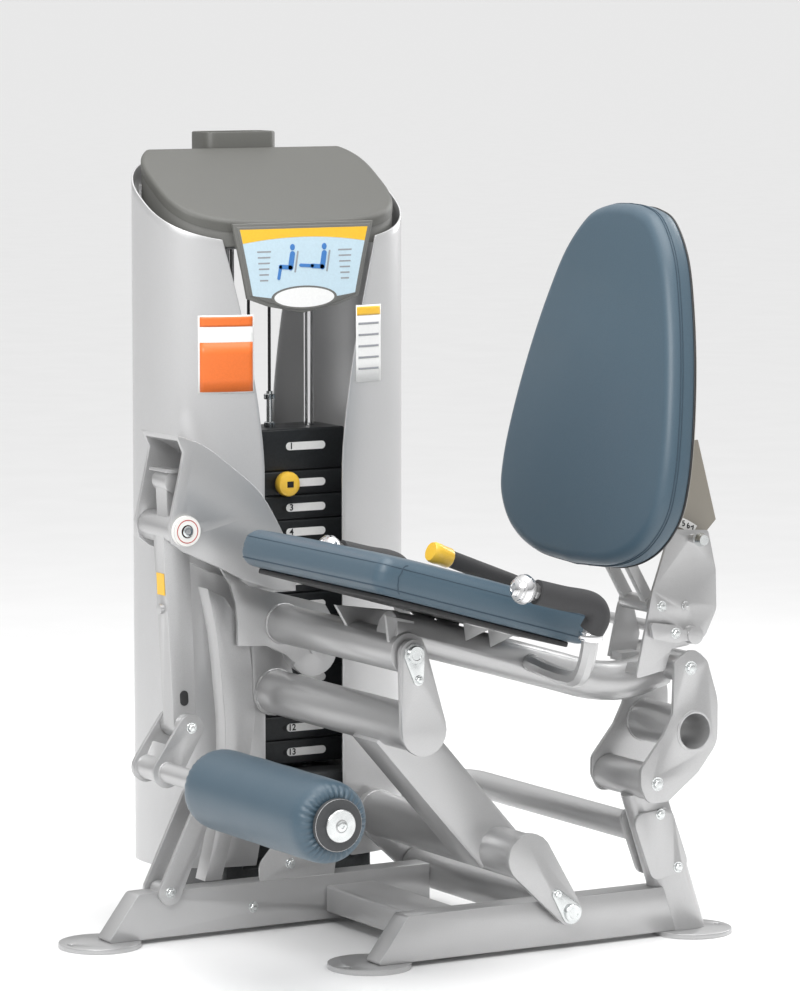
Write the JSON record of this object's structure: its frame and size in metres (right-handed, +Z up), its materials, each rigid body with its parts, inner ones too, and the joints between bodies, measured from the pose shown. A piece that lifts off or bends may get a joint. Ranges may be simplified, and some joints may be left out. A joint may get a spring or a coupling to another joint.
{
  "type": "leg extension machine",
  "caption": "Seated leg extension machine: padded seat and back on a rocking frame, a swinging leg arm with a padded roller, and a weight tower with a selector pin.",
  "frame": {"origin": "middle of the footprint, on the floor", "axes": "+Z up; the user faces -X; the weight tower stands on the +Y side; every pivot turns about +Y"},
  "size_m": [1.193, 1.217, 1.512],
  "materials": {
    "silver_paint": "satin metallic powder coat",
    "silver_panel": "satin metallic powder coat on bent sheet",
    "cap_plastic": "fine-grained moulded plastic",
    "stack_paint": "black satin paint",
    "yellow_plastic": "smooth moulded plastic",
    "chrome": "bright plate",
    "black_rubber": "matte black",
    "dark_steel": "dark satin paint",
    "blue_vinyl": "grained upholstery vinyl over foam",
    "black_board": "painted plywood",
    "taupe_plastic": "moulded plastic",
    "black_foam": "closed-cell foam sleeve"
  },
  "bodies": {
    "base": {"beam_far": "silver_paint", "beam_near": "silver_paint", "cross_tube": "silver_paint", "floor_pivot_tube": "silver_paint", "foot_far": "silver_paint", "foot_near": "silver_paint", "foot_rear": "silver_paint", "rear_post": "silver_paint", "rear_rail": "silver_paint", "front_column": "silver_paint", "shroud_front_side": "silver_panel", "shroud_rear_side": "silver_panel", "tower_cap": "cap_plastic", "fascia": "cap_plastic", "weight_plate_03": "stack_paint", "weight_plate_04": "stack_paint", "weight_plate_05": "stack_paint", "weight_plate_06": "stack_paint", "weight_plate_07": "stack_paint", "weight_plate_08": "stack_paint", "weight_plate_09": "stack_paint", "weight_plate_10": "stack_paint", "weight_plate_11": "stack_paint", "weight_plate_12": "stack_paint", "weight_plate_13": "stack_paint", "guide_rod_front_side": "chrome", "guide_rod_rear_side": "chrome", "crosshead": "silver_paint", "cable_front_run": "black_rubber", "cable_rear_run": "black_rubber", "tower_base": "dark_steel"},
    "swing": {"swing_frame": "silver_paint"},
    "seat": {"seat_frame": "silver_paint", "knee_bracket": "silver_paint", "cam_plate": "silver_paint", "seat_cushion": "blue_vinyl", "seat_board": "black_board", "back_bracket_near": "silver_paint", "back_bracket_far": "silver_paint", "handle_bar_near": "chrome", "handle_bar_far": "chrome", "handle_grip_near": "black_foam", "handle_grip_far": "black_foam"},
    "leg_arm": {"leg_arm": "silver_paint"},
    "shin_link": {"shin_link": "silver_paint"},
    "shin_roller": {"shin_roller": "blue_vinyl"},
    "rear_link": {"rear_link": "silver_paint"},
    "rest_prop": {"rest_prop": "silver_paint"},
    "back_rest": {"back_cushion": "blue_vinyl", "back_shell": "taupe_plastic", "back_uprights": "silver_paint", "back_sector": "taupe_plastic"},
    "pull_pin": {"pull_pin": "chrome"},
    "adjust_lever": {"adjust_lever": "black_foam"},
    "lifted_weights": {"weight_head": "stack_paint", "weight_plate_02": "stack_paint"},
    "selector_pin": {"selector_pin": "yellow_plastic"},
    "top_pulley": {"top_pulley": "black_rubber"}
  },
  "joints": [
    {"name": "swing_pivot", "type": "hinge", "parent": "base", "child": "swing", "pos_m": [0.2235, -0.2315, 0.073], "axis": [0, 1, 0], "range_deg": [0, 8]},
    {"name": "seat_pivot", "type": "hinge", "parent": "swing", "child": "seat", "pos_m": [-0.1175, -0.2315, 0.584], "axis": [0, 1, 0], "range_deg": [-1.4, 0.1]},
    {"name": "knee_pivot", "type": "hinge", "parent": "seat", "child": "leg_arm", "pos_m": [-0.3655, 0.1805, 0.783], "axis": [0, 1, 0], "range_deg": [0, 95]},
    {"name": "shin_pivot", "type": "hinge", "parent": "leg_arm", "child": "shin_link", "pos_m": [-0.3475, 0.1805, 0.408], "axis": [0, 1, 0], "range_deg": [0, 30]},
    {"name": "roller_spin", "type": "hinge", "parent": "shin_link", "child": "shin_roller", "pos_m": [-0.3985, -0.2315, 0.328], "axis": [0, 1, 0], "continuous": true},
    {"name": "rear_link_pivot", "type": "hinge", "parent": "base", "child": "rear_link", "pos_m": [0.4005, -0.2315, 0.304], "axis": [0, 1, 0], "range_deg": [0, 17.1]},
    {"name": "prop_pivot", "type": "hinge", "parent": "base", "child": "rest_prop", "pos_m": [-0.3875, 0.1805, 0.096], "axis": [0, 1, 0], "range_deg": [-8, 0]},
    {"name": "back_pivot", "type": "hinge", "parent": "seat", "child": "back_rest", "pos_m": [0.4165, -0.2315, 0.638], "axis": [0, 1, 0], "range_deg": [-5, 25]},
    {"name": "pull_pin_slide", "type": "slide", "parent": "seat", "child": "pull_pin", "axis": [0, -1, 0], "range_m": [0, 0.008], "stiffness_N_per_m": 500, "springref_m": -0.004},
    {"name": "lever_pivot", "type": "hinge", "parent": "seat", "child": "adjust_lever", "pos_m": [0.4805, -0.2315, 0.581], "axis": [0, 1, 0], "range_deg": [0, 15]},
    {"name": "stack_lift", "type": "slide", "parent": "base", "child": "lifted_weights", "axis": [0, 0, 1], "range_m": [0, 0.25], "deforming": ["cable_front_run"]},
    {"name": "selector_slide", "type": "slide", "parent": "lifted_weights", "child": "selector_pin", "axis": [0, -1, 0], "range_m": [0, 0.08]},
    {"name": "top_pulley_spin", "type": "hinge", "parent": "base", "child": "top_pulley", "pos_m": [-0.0195, 0.4658, 1.344], "axis": [1, 0, 0], "range_deg": [-345, 0]}
  ],
  "couplings": [
    {"joint": "seat_pivot", "follows": "swing_pivot", "ratio": -0.154},
    {"joint": "knee_pivot", "follows": "swing_pivot", "ratio": 11.875},
    {"joint": "rear_link_pivot", "follows": "swing_pivot", "ratio": 2.125},
    {"joint": "stack_lift", "follows": "swing_pivot", "m_per_rad": 1.79},
    {"joint": "top_pulley_spin", "follows": "swing_pivot", "ratio": -42.6}
  ]
}
